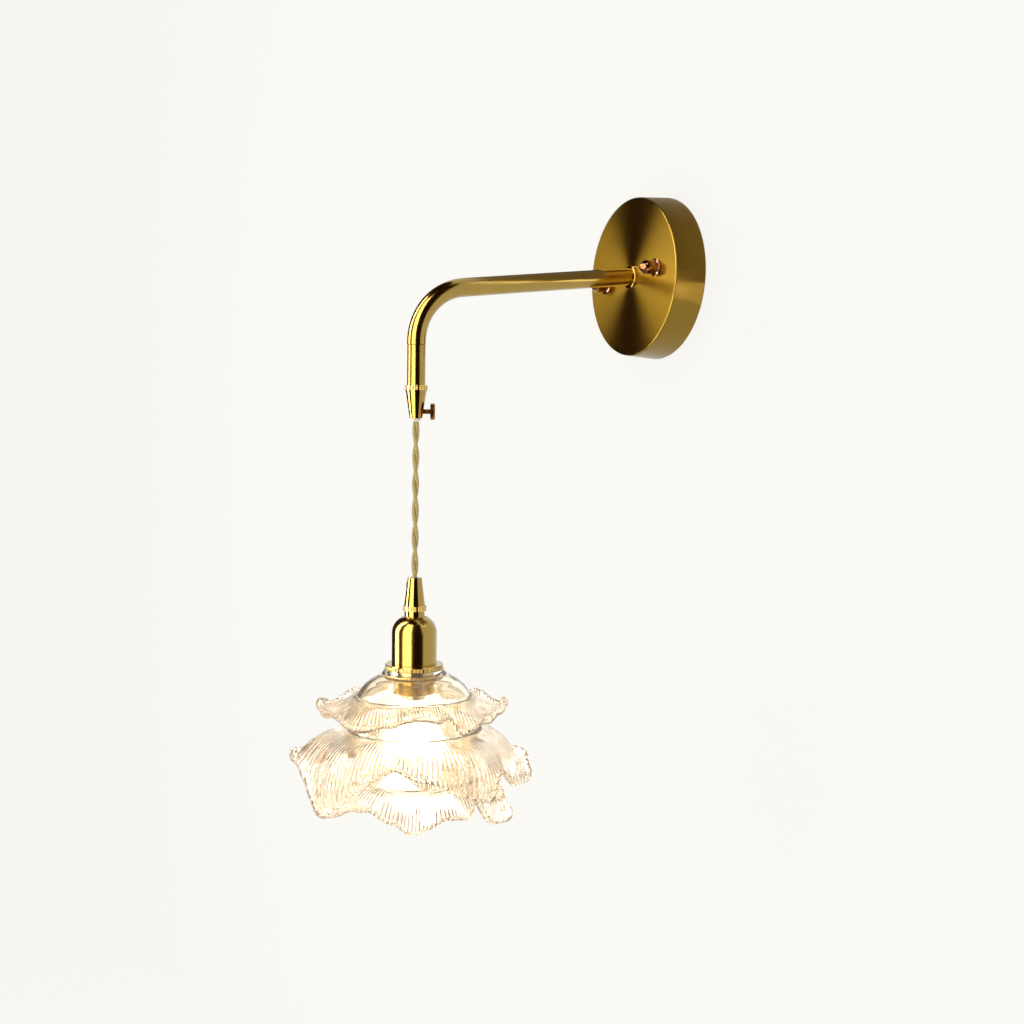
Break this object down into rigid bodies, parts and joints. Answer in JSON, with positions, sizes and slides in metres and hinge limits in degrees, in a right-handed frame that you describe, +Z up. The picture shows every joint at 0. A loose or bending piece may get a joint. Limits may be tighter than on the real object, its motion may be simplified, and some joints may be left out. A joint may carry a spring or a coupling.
{
  "type": "hanging pendant wall sconce",
  "caption": "Wall light with a round brass canopy, a bent brass arm, a twisted cord that pays out through a thumbscrew grip, and a hanging glass flower shade.",
  "frame": {"origin": "centre of the canopy's open back, on the wall plane Y = 0", "axes": "+Z up, +Y into the wall, the arm reaches out along -Y"},
  "size_m": [0.1484, 0.2767, 0.4472],
  "materials": {
    "steel": "zinc plated",
    "brushed_brass": "brushed and lacquered",
    "polished_brass": "polished",
    "contact_brass": "nickel plated",
    "nylon": "moulded",
    "ceramic": "glazed porcelain, weighed as a plastic",
    "lead_cover": "PVC insulation",
    "braided_cord": "braided rayon over a twisted pair",
    "opal_glass": "opal",
    "clear_glass": "cast and fire polished"
  },
  "bodies": {
    "wall_arm": {"wall_bracket": "steel", "bracket_studs": "steel", "stud_nuts": "steel", "cap_nuts": "polished_brass", "canopy_cup": "brushed_brass", "terminal_block": "nylon", "terminal_screws": "steel", "earth_screw": "steel", "arm_tube": "brushed_brass", "arm_collar": "polished_brass", "arm_washer": "steel", "arm_nut": "steel", "arm_flex": "braided_cord", "supply_leads": "lead_cover", "drop_sleeve": "polished_brass", "sleeve_ring": "polished_brass", "grip_cone_upper": "polished_brass", "cord_bush": "nylon"},
    "grip_pad": {"grip_pad": "nylon"},
    "thumbscrew": {"thumbscrew": "polished_brass"},
    "cord_feed": {"cord_feed": "braided_cord"},
    "cord_bend": {"cord_bend": "braided_cord"},
    "pendant": {"cord_drop": "braided_cord", "grip_cone_lower": "polished_brass", "grub_screw_lower": "polished_brass", "lower_ring": "polished_brass", "neck_spacer": "polished_brass", "socket_cap": "brushed_brass", "cap_screws": "polished_brass", "socket_nipple": "polished_brass", "nipple_nut": "polished_brass", "socket_barrel": "polished_brass", "holder_body": "ceramic", "holder_terminals": "contact_brass", "holder_cores": "lead_cover", "screw_shell": "contact_brass", "centre_contact": "contact_brass", "shade_ring_upper": "polished_brass", "shade_ring_lower": "polished_brass", "bulb_contact": "contact_brass", "bulb_screw_cap": "contact_brass", "bulb_globe": "opal_glass", "glass_bell": "clear_glass", "glass_tier_upper": "clear_glass", "glass_tier_middle": "clear_glass", "glass_tier_lower": "clear_glass"}
  },
  "joints": [
    {"name": "grip_pad_travel", "type": "slide", "parent": "wall_arm", "child": "grip_pad", "axis": [0.4524, 0.8918, 0], "range_m": [0, 0.00141]},
    {"name": "thumbscrew_turn", "type": "hinge", "parent": "grip_pad", "child": "thumbscrew", "pos_m": [0.00226, -0.19334, -0.1026], "axis": [0.4524, 0.8918, 0], "range_deg": [0, 720]},
    {"name": "cord_payout", "type": "slide", "parent": "wall_arm", "child": "cord_feed", "axis": [0, 0, -1], "range_m": [0, 0.04]},
    {"name": "swing_fore_aft", "type": "hinge", "parent": "cord_feed", "child": "cord_bend", "pos_m": [0, -0.1978, -0.1124], "axis": [1, 0, 0], "range_deg": [-15, 15]},
    {"name": "swing_side", "type": "hinge", "parent": "cord_bend", "child": "pendant", "pos_m": [0, -0.1978, -0.1124], "axis": [0, 1, 0], "range_deg": [-15, 15]}
  ],
  "couplings": [
    {"joint": "grip_pad_travel", "follows": "thumbscrew_turn", "m_per_rad": 0.00011141}
  ]
}
